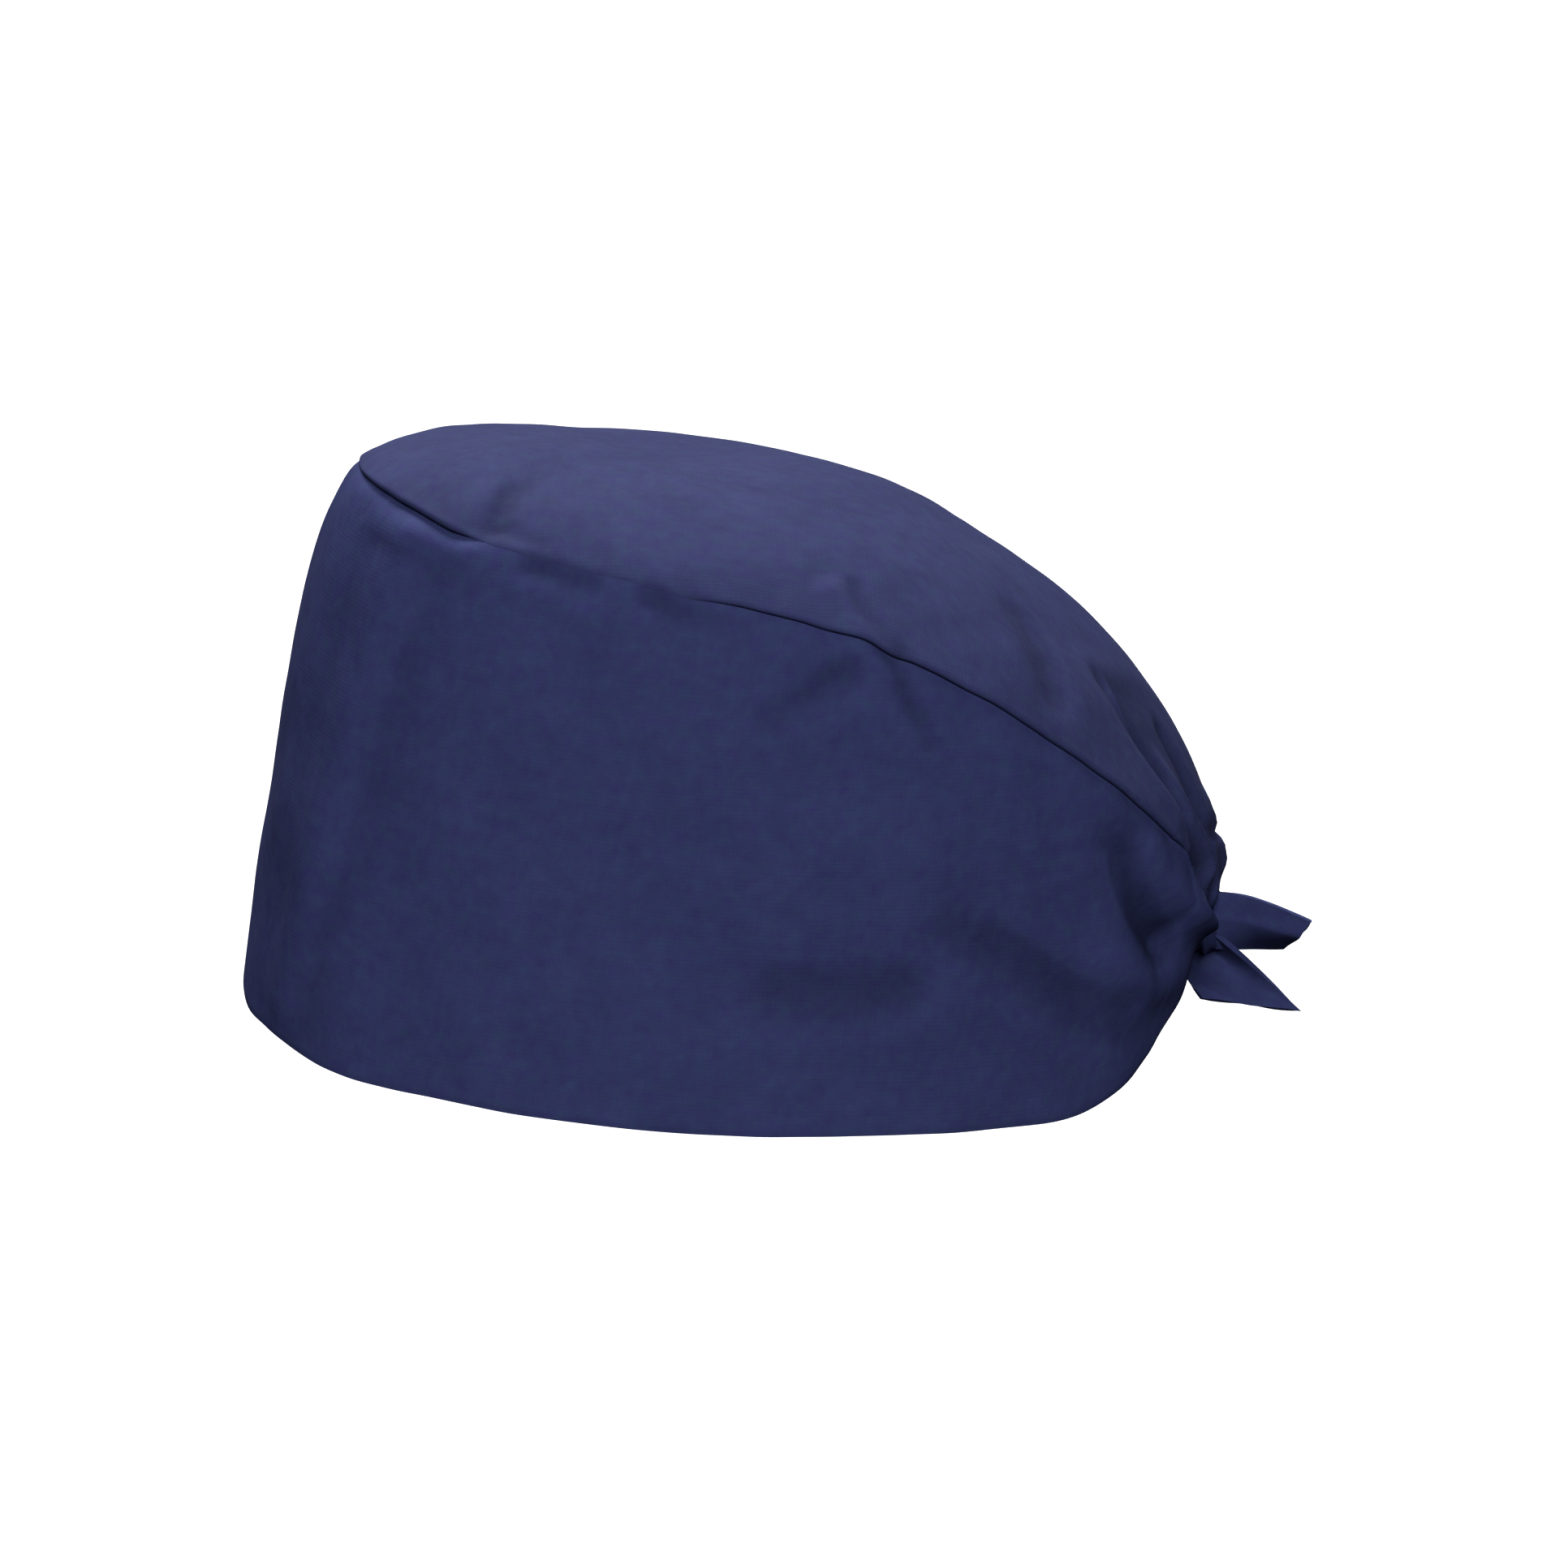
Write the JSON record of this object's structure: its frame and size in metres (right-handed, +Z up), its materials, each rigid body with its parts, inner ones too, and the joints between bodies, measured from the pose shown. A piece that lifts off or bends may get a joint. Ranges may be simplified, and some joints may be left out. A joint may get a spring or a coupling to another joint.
{
  "type": "scrub cap",
  "caption": "Tie-back cloth scrub cap held open as on a head: gathered crown panel, deep side band, nape knot and short tie tails.",
  "frame": {"origin": "middle of the head opening, level with the lowest point of its rim, where the cap sits on a head", "axes": "-Y towards the brow, +Y towards the knot at the nape, +X towards the wearer's left ear, +Z up through the crown"},
  "size_m": [0.166, 0.2468, 0.1423],
  "materials": {
    "crown_poplin": "matte navy poly-cotton poplin, a little sun-bright on top",
    "band_poplin": "matte navy poly-cotton poplin",
    "tie_poplin": "matte navy poly-cotton poplin, folded double"
  },
  "bodies": {
    "root": {"crown_panel": "crown_poplin", "side_band": "band_poplin", "tie_knot": "tie_poplin", "tie_tail_upper": "tie_poplin", "tie_tail_lower": "tie_poplin"}
  },
  "joints": []
}
